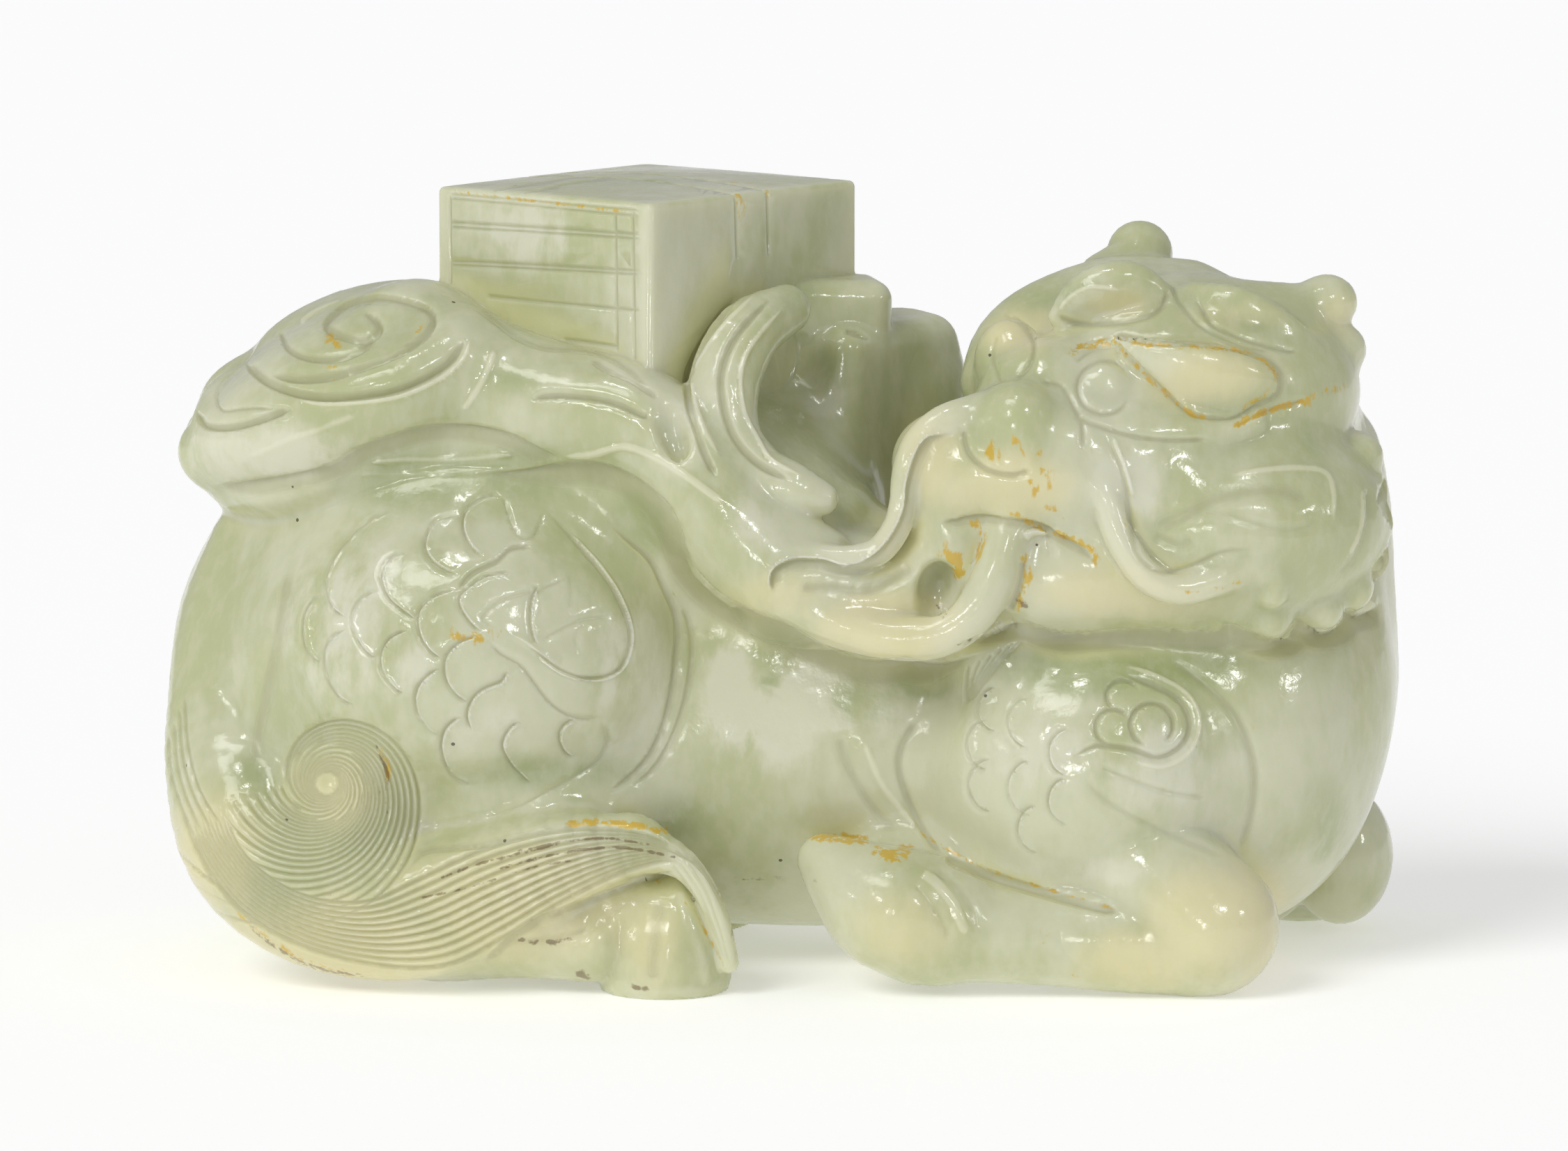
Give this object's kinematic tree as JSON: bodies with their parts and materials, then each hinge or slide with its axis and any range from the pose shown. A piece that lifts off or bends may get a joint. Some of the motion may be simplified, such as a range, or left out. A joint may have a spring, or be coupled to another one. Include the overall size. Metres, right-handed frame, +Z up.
{
  "type": "qilin figure",
  "caption": "Recumbent qilin carved from one pebble of pale celadon jade, its head turned back and a case of books on the ruyi cloud that its breath forms.",
  "frame": {"origin": "middle of the footprint, on the plane that the carving rests on", "axes": "+X along the animal from its rump to its chest, +Y away from the side with the face, +Z up"},
  "size_m": [0.12, 0.0543, 0.0757],
  "materials": {
    "jade": "pale celadon nephrite with a waxy polish, cloudy lighter patches and a few brown stains in the recesses"
  },
  "bodies": {
    "root": {"qilin_carving": "jade"}
  },
  "joints": []
}
